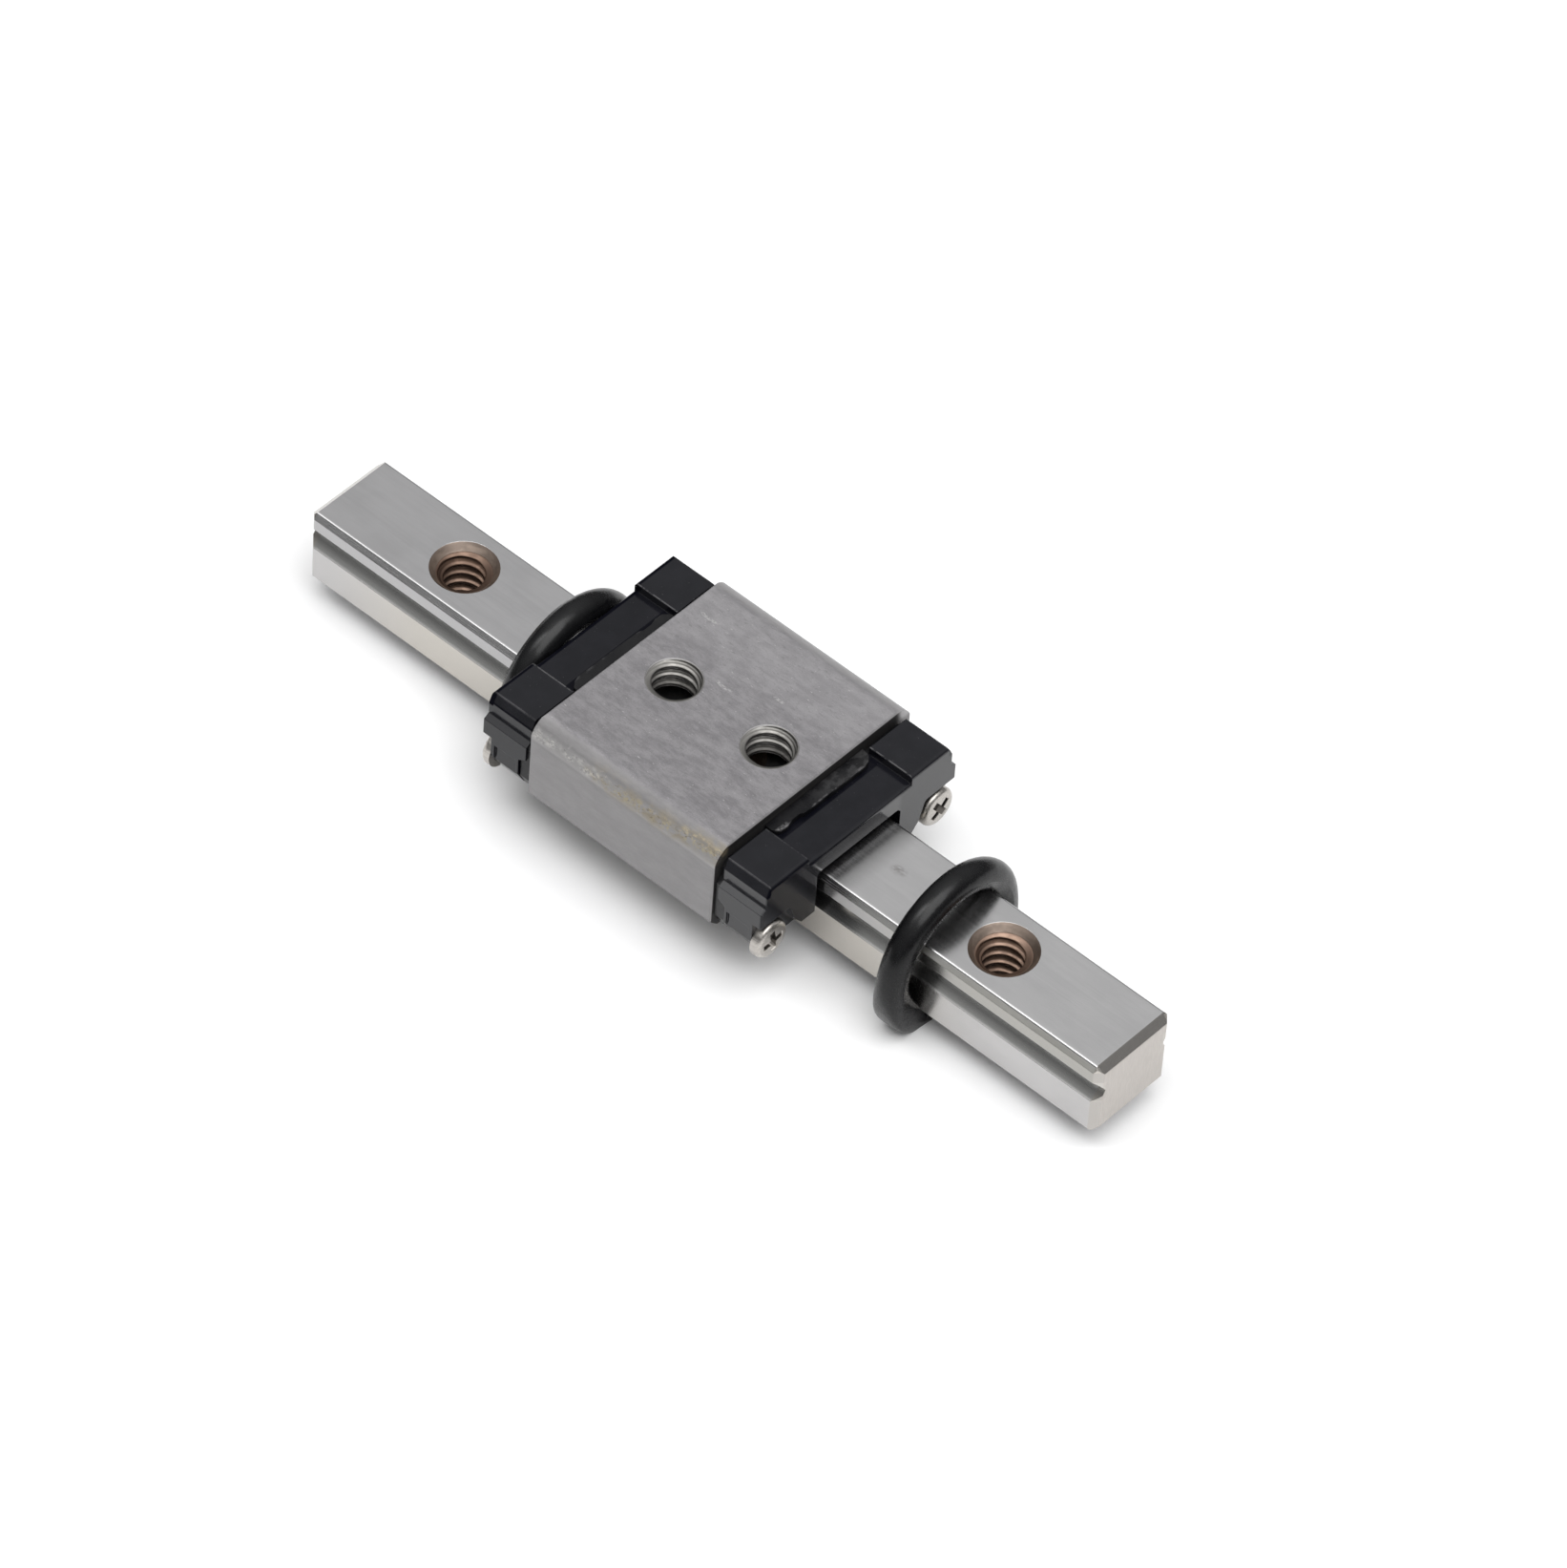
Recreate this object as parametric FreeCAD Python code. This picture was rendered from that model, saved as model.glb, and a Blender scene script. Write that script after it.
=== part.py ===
import FreeCAD, Part
import math
import os
from FreeCAD import Vector

# Miniature linear guide, 3 mm class: a ground rail, a four-point ball carriage
# and two rubber stop rings.  Millimetres.
# X runs along the rail, Z is up.  The origin is on the rail's base, on the
# axis of the middle mounting hole.

os.makedirs("parts", exist_ok=True)

# ---- rail ---------------------------------------------------------------
RAIL_W = 3.0            # width
RAIL_H = 2.6            # height
RAIL_X0 = -14.55        # rear end
RAIL_X1 = 14.75         # front end
RAIL_TOP_CH = (0.125, 0.20)  # bevel of the long top edges, across and down
RAIL_EDGE_R = 0.10      # rounding where that bevel meets the top
RAIL_BASE_CH = 0.15     # chamfer of the long base edges
RAIL_END_CH = 0.23      # chamfer round each end
HOLE_PITCH = 10.0       # rail hole pitch
HOLE_R = 0.80           # M1.6 thread, root radius
RAIL_CSK_R = 1.00       # countersink mouth radius, 90 degrees

# ---- ball track ---------------------------------------------------------
GROOVE_R = 0.42         # groove radius in the block
GROOVE_HALF = 0.38      # half height of the rail groove at the rail's side
GROOVE_DEPTH = 0.33     # depth of the rail groove, a pointed arch
GROOVE_FLANK_R = 1.17   # radius of each flank of that arch
TRACK_Z = 1.64          # height of the loaded ball row
BALL_R = 0.37
BALL_GAP = 0.01         # running clearance ball to groove
BALLS = 25              # balls in one circuit
RETURN_Y = 3.05         # return bore
RETURN_Z = 2.75
RETURN_R = 0.43

# ---- carriage block -----------------------------------------------------
CAR_X = -0.43           # carriage centre, at rest against the rear ring
BLOCK_W = 8.0
BLOCK_L = 6.8
BLOCK_TOP = 4.0
BLOCK_BASE = 0.95
BLOCK_R = 0.70          # rounded long top edges
BLOCK_BASE_CH = 0.35    # chamfer of the long base edges
BLOCK_END_CH = 0.05     # edge break round each end
SLOT_HALF = 1.72        # slot over the rail
SLOT_TOP = 3.00
SLOT_CH = 0.15
BLOCK_PITCH = 3.5       # two M1.6 holes
BLOCK_MOUTH_R = 0.83    # lead-in at the top of each hole

# ---- end caps and return plates (distances from the carriage centre) ----
CAP_BACK = 3.56
CAP_FRONT = 5.14
CAP_TOP = 3.74          # shoulders
CAP_VALLEY = 3.49       # lower middle
CAP_BASE = 1.12
CAP_Z_SIDE = 1.62       # lower end of the side, above the base chamfer
CAP_Y_BASE = 3.66
CAP_FRONT_R = 0.12      # rounding of the front top edges
CAP_Y_TOP = 3.60        # outer edge of the shoulder top
CAP_Y_UP = 3.76         # upper side
CAP_Y_LOW = 3.95        # lower side, below the ledge
CAP_Z_CH = 3.42
CAP_Z_LEDGE = 2.98
CAP_Z_LOW = 2.86
SHOULDER_Y = 2.09       # inner wall of each shoulder
OPEN_HALF = 1.69        # opening over the rail
OPEN_TOP = 2.84
OPEN_CH = 0.12
EAR_Z = 2.32            # underside of the ear above the screw
LEG_Y = 2.70            # outer side of the leg beside the screw, at its top
LEG_FOOT_Y = 2.52       # and at its foot
SEAT_X = 4.84           # screw seat
PLATE_TAB_Z = 3.67
TURN_X = 3.45           # centre of the ball turns
TURN_TUBE = 0.42
PLATE_BORE_R = 0.46     # ball holes through the return plate
PLATE_BASE = 1.10

# ---- cap screws ---------------------------------------------------------
SCREW_Y = 3.40
SCREW_Z = 1.47
SCREW_R = 0.28
SCREW_CLEAR = 0.31
HEAD_R = 0.61
SHANK_END = 1.90

# ---- stop rings ---------------------------------------------------------
RING_R = 2.25           # centre line radius
RING_T = 0.45           # section radius
RING_Z = 1.28
RING_FLOOR = -0.75      # flat that each ring stands on
RING_GAP = 0.03
FRONT_RING_X = 8.03
REAR_RING_X = CAR_X - CAP_FRONT - RING_T - RING_GAP


def v(x, y, z):
    return Vector(x, y, z)


def line(a, b):
    return Part.LineSegment(a, b).toShape()


def arc(a, m, b):
    return Part.Arc(a, m, b).toShape()


def prism(edges, vec):
    return Part.Face(Part.Wire(Part.__sortEdges__(edges))).extrude(vec)


def poly(points, vec):
    return Part.Face(Part.makePolygon(points + [points[0]])).extrude(vec)


def cyl_x(r, x0, x1, y, z):
    return Part.makeCylinder(r, x1 - x0, v(x0, y, z), v(1, 0, 0))


def end_bevel(x0, x1, half, z0, z1, c):
    """Box along X whose two end outlines are chamfered."""
    a = poly([v(x0 + c, -half - 1, z0), v(x1 - c, -half - 1, z0), v(x1, -half - 1, z0 + c),
              v(x1, -half - 1, z1 - c), v(x1 - c, -half - 1, z1), v(x0 + c, -half - 1, z1),
              v(x0, -half - 1, z1 - c), v(x0, -half - 1, z0 + c)], v(0, 2 * half + 2, 0))
    b = poly([v(x0 + c, -half, z0 - 1), v(x1 - c, -half, z0 - 1), v(x1, -half + c, z0 - 1),
              v(x1, half - c, z0 - 1), v(x1 - c, half, z0 - 1), v(x0 + c, half, z0 - 1),
              v(x0, half - c, z0 - 1), v(x0, -half + c, z0 - 1)], v(0, 0, z1 - z0 + 2))
    return a.common(b)


def save(shape, name):
    shape = shape.removeSplitter() if shape.ShapeType != "Compound" else shape
    if shape.ShapeType == "Compound" and len(shape.Solids) == 1:
        shape = shape.Solids[0]
    print(name, "solids", len(shape.Solids), "valid", shape.isValid(), "vol %.4f" % shape.Volume)
    shape.exportStep("parts/%s.step" % name)


# ---- guide rail ---------------------------------------------------------
def rail_prism(x0, x1):
    w, h, b = RAIL_W / 2, RAIL_H, RAIL_BASE_CH
    lo, hi, apex = TRACK_Z - GROOVE_HALF, TRACK_Z + GROOVE_HALF, w - GROOVE_DEPTH
    # middle of each flank, bowed into the rail by its sagitta
    chord = math.hypot(GROOVE_DEPTH, GROOVE_HALF)
    bow = GROOVE_FLANK_R - math.sqrt(GROOVE_FLANK_R ** 2 - chord ** 2 / 4)
    my = w - GROOVE_DEPTH / 2 - bow * GROOVE_HALF / chord
    mz = GROOVE_HALF / 2 + bow * GROOVE_DEPTH / chord
    zl, zh = TRACK_Z - mz, TRACK_Z + mz
    # top edge: from the side at hz, up the bevel to (by, bz), round to the top at ty
    cy, cz = RAIL_TOP_CH
    turn, run = math.atan2(cz, cy), math.hypot(cy, cz)
    t = RAIL_EDGE_R * math.tan(turn / 2)
    hz, ty = h - cz, w - cy - t
    by, bz = w - cy + t * cy / run, h - t * cz / run
    ky, kz = ty + RAIL_EDGE_R * math.sin(turn / 2), h - RAIL_EDGE_R * (1 - math.cos(turn / 2))
    e = [line(v(x0, -w + b, 0), v(x0, w - b, 0)), line(v(x0, w - b, 0), v(x0, w, b))]
    e += [line(v(x0, w, b), v(x0, w, lo)), arc(v(x0, w, lo), v(x0, my, zl), v(x0, apex, TRACK_Z)),
          arc(v(x0, apex, TRACK_Z), v(x0, my, zh), v(x0, w, hi)),
          line(v(x0, w, hi), v(x0, w, hz)), line(v(x0, w, hz), v(x0, by, bz)),
          arc(v(x0, by, bz), v(x0, ky, kz), v(x0, ty, h))]
    e += [line(v(x0, ty, h), v(x0, -ty, h))]
    e += [arc(v(x0, -ty, h), v(x0, -ky, kz), v(x0, -by, bz)), line(v(x0, -by, bz), v(x0, -w, hz)),
          line(v(x0, -w, hz), v(x0, -w, hi)),
          arc(v(x0, -w, hi), v(x0, -my, zh), v(x0, -apex, TRACK_Z)),
          arc(v(x0, -apex, TRACK_Z), v(x0, -my, zl), v(x0, -w, lo)), line(v(x0, -w, lo), v(x0, -w, b)),
          line(v(x0, -w, b), v(x0, -w + b, 0))]
    return prism(e, v(x1 - x0, 0, 0))


rail = rail_prism(RAIL_X0, RAIL_X1)
rail = rail.common(end_bevel(RAIL_X0, RAIL_X1, RAIL_W / 2, 0, RAIL_H, RAIL_END_CH))
for i in (-1, 0, 1):
    x = i * HOLE_PITCH
    rail = rail.cut(Part.makeCylinder(HOLE_R, RAIL_H + 2, v(x, 0, -1), v(0, 0, 1)))
    d = RAIL_CSK_R - HOLE_R
    rail = rail.cut(Part.makeCone(HOLE_R, RAIL_CSK_R + 0.5, d + 0.5, v(x, 0, RAIL_H - d), v(0, 0, 1)))
save(rail, "guide_rail")


# ---- stop rings ---------------------------------------------------------
def ring(x):
    """Rubber ring round the rail, round in section above and pressed square
    where it stands on the bench and passes under the rail."""
    wires = []
    for i in range(14):
        phi = math.radians(-156 + 24 * i)
        u = min(1.0, max(0.0, (abs(math.degrees(phi)) - 84) / 48))
        n = 2 + 4.0 * u * u * (3 - 2 * u)
        t = RING_T * (1 + 0.06 * u)
        pts = []
        for k in range(16):
            c, d = math.cos(math.pi * k / 8), math.sin(math.pi * k / 8)
            r = (abs(c / RING_T) ** n + abs(d / t) ** n) ** (-1 / n)
            q = RING_R + r * d
            pts.append(v(x + r * c, -q * math.sin(phi), RING_Z + q * math.cos(phi)))
        b = Part.BSplineCurve()
        b.interpolate(Points=pts, PeriodicFlag=True, Parameters=[k / 16 for k in range(17)])
        wires.append(Part.Wire(b.toShape()))
    p = Part.makeLoft(wires, True, False)
    p = p.fuse(Part.makeBox(2 * RING_T - 0.04, 2.3, 0.9, v(x - RING_T + 0.02, -1.15, -0.92)))
    p = p.cut(rail_prism(x - 1, x + 1))
    return p.cut(Part.makeBox(2, 8, 2, v(x - 1, -4, RING_FLOOR - 2)))


save(ring(FRONT_RING_X), "front_stop_ring")
save(ring(REAR_RING_X), "rear_stop_ring")

# ---- carriage block -----------------------------------------------------
# a ball touches the flanks of the rail groove, not its apex: its centre lies
# on the groove's mid height, one ball radius and the gap from both flank arcs
chord = math.hypot(GROOVE_DEPTH, GROOVE_HALF)
rise = math.sqrt(GROOVE_FLANK_R ** 2 - chord ** 2 / 4)
flank_y = RAIL_W / 2 - GROOVE_DEPTH / 2 + rise * GROOVE_HALF / chord
flank_z = GROOVE_HALF / 2 - rise * GROOVE_DEPTH / chord
BALL_Y = flank_y - math.sqrt((GROOVE_FLANK_R - BALL_R - BALL_GAP) ** 2 - flank_z ** 2)
BLOCK_GROOVE_Y = BALL_Y + BALL_R + BALL_GAP - GROOVE_R


def block():
    x0, x1 = CAR_X - BLOCK_L / 2, CAR_X + BLOCK_L / 2
    w, t, b, r, c = BLOCK_W / 2, BLOCK_TOP, BLOCK_BASE, BLOCK_R, BLOCK_BASE_CH
    k = r * (1 - math.sqrt(0.5))
    s, st, sc = SLOT_HALF, SLOT_TOP, SLOT_CH
    e = [line(v(x0, s, b), v(x0, w - c, b)), line(v(x0, w - c, b), v(x0, w, b + c)),
         line(v(x0, w, b + c), v(x0, w, t - r)), arc(v(x0, w, t - r), v(x0, w - k, t - k), v(x0, w - r, t)),
         line(v(x0, w - r, t), v(x0, -w + r, t)), arc(v(x0, -w + r, t), v(x0, -w + k, t - k), v(x0, -w, t - r)),
         line(v(x0, -w, t - r), v(x0, -w, b + c)), line(v(x0, -w, b + c), v(x0, -w + c, b)),
         line(v(x0, -w + c, b), v(x0, -s, b)), line(v(x0, -s, b), v(x0, -s, st - sc)),
         line(v(x0, -s, st - sc), v(x0, -s + sc, st)), line(v(x0, -s + sc, st), v(x0, s - sc, st)),
         line(v(x0, s - sc, st), v(x0, s, st - sc)), line(v(x0, s, st - sc), v(x0, s, b))]
    p = prism(e, v(x1 - x0, 0, 0))
    p = p.common(end_bevel(x0, x1, w, b, t, BLOCK_END_CH))
    for side in (-1, 1):
        p = p.cut(cyl_x(GROOVE_R, x0 - 1, x1 + 1, side * BLOCK_GROOVE_Y, TRACK_Z))
        p = p.cut(cyl_x(RETURN_R, x0 - 1, x1 + 1, side * RETURN_Y, RETURN_Z))
        for a, bb in ((x0 - 1, CAR_X - SHANK_END + 0.1), (CAR_X + SHANK_END - 0.1, x1 + 1)):
            p = p.cut(cyl_x(SCREW_R, a, bb, side * SCREW_Y, SCREW_Z))
        x = CAR_X + side * BLOCK_PITCH / 2
        p = p.cut(Part.makeCylinder(HOLE_R, 3, v(x, 0, SLOT_TOP - 1), v(0, 0, 1)))
        d = BLOCK_MOUTH_R - HOLE_R
        p = p.cut(Part.makeCone(HOLE_R, BLOCK_MOUTH_R + 0.5, d + 0.5, v(x, 0, BLOCK_TOP - d), v(0, 0, 1)))
    return p


save(block(), "carriage_block")

# ---- ball turns ---------------------------------------------------------
turn_dy, turn_dz = RETURN_Y - BALL_Y, RETURN_Z - TRACK_Z
turn_len = math.hypot(turn_dy, turn_dz)
TURN_R = turn_len / 2
TURN_MID = ((RETURN_Y + BALL_Y) / 2, (RETURN_Z + TRACK_Z) / 2)


def turn_axis(side):
    return v(0, -side * turn_dz / turn_len, turn_dy / turn_len)


def turn_tube(side, r):
    return Part.makeTorus(TURN_R, r, v(TURN_X, side * TURN_MID[0], TURN_MID[1]), turn_axis(side))


def turn_disc(side, r, h):
    a = turn_axis(side)
    m = v(TURN_X, side * TURN_MID[0], TURN_MID[1])
    return Part.makeCylinder(r, 2 * h, m.sub(v(a.x * h, a.y * h, a.z * h)), a)


# ---- end cap, built about the carriage centre, facing +X ----------------
def cap():
    x0, x1 = CAP_BACK, CAP_FRONT
    half = [(CAP_Y_TOP, CAP_TOP), (CAP_Y_UP, CAP_Z_CH), (CAP_Y_UP, CAP_Z_LEDGE), (CAP_Y_LOW, CAP_Z_LOW),
            (CAP_Y_LOW, CAP_Z_SIDE), (CAP_Y_BASE, CAP_BASE), (OPEN_HALF, CAP_BASE),
            (OPEN_HALF, OPEN_TOP - OPEN_CH), (OPEN_HALF - OPEN_CH, OPEN_TOP)]
    pts = [v(x0, y, z) for y, z in half] + [v(x0, -y, z) for y, z in reversed(half)]
    p = poly(pts, v(x1 - x0, 0, 0))

    # low middle and two shoulders, each with a rounded front top edge
    def slab(y0, y1, top):
        r = CAP_FRONT_R
        k = r * (1 - math.sqrt(0.5))
        e = [line(v(x0 - 1, y0, 0), v(x1, y0, 0)), line(v(x1, y0, 0), v(x1, y0, top - r)),
             arc(v(x1, y0, top - r), v(x1 - k, y0, top - k), v(x1 - r, y0, top)),
             line(v(x1 - r, y0, top), v(x0 - 1, y0, top)), line(v(x0 - 1, y0, top), v(x0 - 1, y0, 0))]
        return prism(e, v(0, y1 - y0, 0))

    s = SHOULDER_Y
    p = p.common(slab(-s, s, CAP_VALLEY).fuse([slab(s, 5, CAP_TOP), slab(-5, -s, CAP_TOP)]))
    for side in (-1, 1):
        # corner recess for the screw head, with a rounded inner corner, and the
        # leg beside it cut short with a bevelled foot
        r = 0.16
        k = r * (1 - math.sqrt(0.5))
        a = [(1.0, CAP_BASE - 1), (1.0, 1.30), (2.22, 1.30), (LEG_FOOT_Y, 1.64), (LEG_Y, EAR_Z - r)]
        q = [(LEG_Y + r, EAR_Z), (CAP_Y_LOW + 1, EAR_Z), (CAP_Y_LOW + 1, CAP_BASE - 1), a[0]]
        P = lambda t: v(SEAT_X, side * t[0], t[1])
        e = [line(P(m), P(n)) for m, n in zip(a, a[1:])]
        e += [arc(P(a[-1]), P((LEG_Y + k, EAR_Z - k)), P(q[0]))]
        e += [line(P(m), P(n)) for m, n in zip(q, q[1:])]
        p = p.cut(prism(e, v(2, 0, 0)))
        # shallow relief low on the side, and the notch for the return plate's ear
        y0 = 3.88 if side > 0 else -4.88
        p = p.cut(Part.makeBox(4.72 - 3.90, 1.0, 1.5, v(3.90, y0, 2.10 - 1.5)))
        p = p.cut(poly([v(x0 - 1, side * 3.62, 0.5), v(3.82, side * 3.62, 0.5), v(3.82, side * 3.62, 2.22),
                        v(x0 - 1, side * 3.62, 3.00)], v(0, side * 2, 0)))
        p = p.cut(turn_tube(side, TURN_TUBE))
        p = p.cut(turn_disc(side, TURN_R, 0.40))
        p = p.cut(cyl_x(SCREW_CLEAR, x0 - 1, CAP_FRONT + 1, side * SCREW_Y, SCREW_Z))
    return p


# ---- return plate: thin plate against the block, with the inner turn noses
def plate():
    x0, x1 = BLOCK_L / 2, CAP_BACK
    half = [(1.98, 3.52), (3.45, 3.52), (3.66, 3.36), (3.66, 3.02), (3.88, 2.86), (3.88, 1.58), (3.64, PLATE_BASE),
            (OPEN_HALF, PLATE_BASE), (OPEN_HALF, OPEN_TOP - OPEN_CH), (OPEN_HALF - OPEN_CH, OPEN_TOP)]
    pts = [v(x0, y, z) for y, z in half] + [v(x0, -y, z) for y, z in reversed(half)]
    p = poly(pts, v(x1 - x0, 0, 0))
    # low on each side an ear reaches into the cap's notch
    longer = poly(pts, v(3.79 - x0, 0, 0))
    for side in (-1, 1):
        p = p.fuse(longer.common(poly([v(x0, side * 3.64, 0.5), v(3.79, side * 3.64, 0.5), v(3.79, side * 3.64, 2.18),
                                       v(x0, side * 3.64, 2.42)], v(0, side * 2, 0))))
    # raised middle tab, its front lip a little uneven as moulded
    lip = [(x0 + 0.02, -1.98), (3.68, -1.98), (3.85, -1.80), (3.87, -1.55), (3.80, -1.30), (3.80, -1.00), (3.87, -0.85),
           (3.88, 0.0), (3.89, 0.90), (3.90, 1.55), (3.84, 1.75), (3.70, 1.93), (x0 + 0.02, 1.97)]
    p = p.fuse(poly([v(a, b, CAP_VALLEY + 0.01) for a, b in lip], v(0, 0, PLATE_TAB_Z - CAP_VALLEY - 0.01)))
    for side in (-1, 1):
        nose = turn_disc(side, TURN_R - PLATE_BORE_R - 0.03, 0.375)
        nose = nose.common(Part.makeBox(2, 9, 5, v(x1 - 0.05, -4.5, 0)))
        p = p.fuse(nose)
    for side in (-1, 1):
        p = p.cut(cyl_x(PLATE_BORE_R, x0 - 1, x1, side * BALL_Y, TRACK_Z))
        p = p.cut(cyl_x(PLATE_BORE_R, x0 - 1, x1, side * RETURN_Y, RETURN_Z))
        p = p.cut(cyl_x(SCREW_CLEAR, x0 - 1, x1 + 1, side * SCREW_Y, SCREW_Z))
    return p


# ---- cap screw: pan head with a cross recess ----------------------------
def screw(side, turn):
    y, z = side * SCREW_Y, SCREW_Z
    h = SEAT_X
    e = [line(v(h, 0, 0), v(h, HEAD_R, 0)), line(v(h, HEAD_R, 0), v(h + 0.17, HEAD_R, 0)),
         arc(v(h + 0.17, HEAD_R, 0), v(h + 0.27, HEAD_R - 0.045, 0), v(h + 0.315, HEAD_R - 0.13, 0)),
         arc(v(h + 0.315, HEAD_R - 0.13, 0), v(h + 0.338, 0.19, 0), v(h + 0.345, 0, 0)),
         line(v(h + 0.345, 0, 0), v(h, 0, 0))]
    head = Part.Face(Part.Wire(Part.__sortEdges__(e))).revolve(v(0, 0, 0), v(1, 0, 0), 360)
    for a in (0, 90):
        w, l = 0.105, 0.40
        arm = poly([v(h + 0.13, -w, -l * 0.62), v(h + 0.40, -w, -l * 1.05), v(h + 0.40, -w, l * 1.05),
                    v(h + 0.13, -w, l * 0.62)], v(0, 2 * w, 0))
        arm.rotate(v(0, 0, 0), v(1, 0, 0), a)
        head = head.cut(arm)
    head.rotate(v(0, 0, 0), v(1, 0, 0), turn)
    s = head.fuse(cyl_x(SCREW_R, SHANK_END, h + 0.05, 0, 0))
    s.translate(v(0, y, z))
    return s.removeSplitter()


def front(shape):
    s = shape.copy()
    s.translate(v(CAR_X, 0, 0))
    return s


def rear(shape):
    s = shape.copy()
    s.rotate(v(0, 0, 0), v(0, 0, 1), 180)
    s.translate(v(CAR_X, 0, 0))
    return s


the_cap, the_plate = cap(), plate()
save(front(the_cap), "front_end_cap")
save(rear(the_cap), "rear_end_cap")
save(front(the_plate), "front_return_plate")
save(rear(the_plate), "rear_return_plate")
save(Part.makeCompound([front(screw(-1, 8)), front(screw(1, 37))]), "front_cap_screws")
save(Part.makeCompound([rear(screw(-1, 22)), rear(screw(1, 61))]), "rear_cap_screws")


# ---- ball circuits ------------------------------------------------------
def circuit_point(s, side):
    """Point at arc length s round one circuit, from the rear of the loaded row."""
    st, tr = 2 * TURN_X, math.pi * TURN_R
    uy, uz = turn_dy / turn_len, turn_dz / turn_len
    if s < st:
        x, q = -TURN_X + s, -TURN_R
    elif s < st + tr:
        a = (s - st) / TURN_R
        x, q = TURN_X + TURN_R * math.sin(a), -TURN_R * math.cos(a)
    elif s < 2 * st + tr:
        x, q = TURN_X - (s - st - tr), TURN_R
    else:
        a = (s - 2 * st - tr) / TURN_R
        x, q = -TURN_X - TURN_R * math.sin(a), TURN_R * math.cos(a)
    return v(CAR_X + x, side * (TURN_MID[0] + q * uy), TURN_MID[1] + q * uz)


total = 4 * TURN_X + 2 * math.pi * TURN_R
print("circuit length %.3f, ball pitch %.3f" % (total, total / BALLS))
for side, name in ((-1, "left_balls"), (1, "right_balls")):
    save(Part.makeCompound([Part.makeSphere(BALL_R, circuit_point(total * (i + 0.3) / BALLS, side))
                            for i in range(BALLS)]), name)
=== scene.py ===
import math

import bmesh
import bpy
from mathutils import Matrix, Vector


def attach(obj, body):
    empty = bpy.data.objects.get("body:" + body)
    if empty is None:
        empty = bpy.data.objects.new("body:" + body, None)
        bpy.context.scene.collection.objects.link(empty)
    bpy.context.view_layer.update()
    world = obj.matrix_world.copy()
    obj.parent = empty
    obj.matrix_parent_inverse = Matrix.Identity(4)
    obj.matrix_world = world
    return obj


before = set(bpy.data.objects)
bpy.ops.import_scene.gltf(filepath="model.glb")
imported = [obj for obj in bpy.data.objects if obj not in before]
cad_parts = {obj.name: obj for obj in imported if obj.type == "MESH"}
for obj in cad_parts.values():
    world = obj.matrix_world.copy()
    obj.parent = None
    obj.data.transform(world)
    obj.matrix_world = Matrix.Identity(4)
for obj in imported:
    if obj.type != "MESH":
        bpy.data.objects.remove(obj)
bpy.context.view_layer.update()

MM = 0.001
FLOOR_Z = -0.75 * MM
CAR_X = -0.43           # carriage centre along the rail, mm

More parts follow.
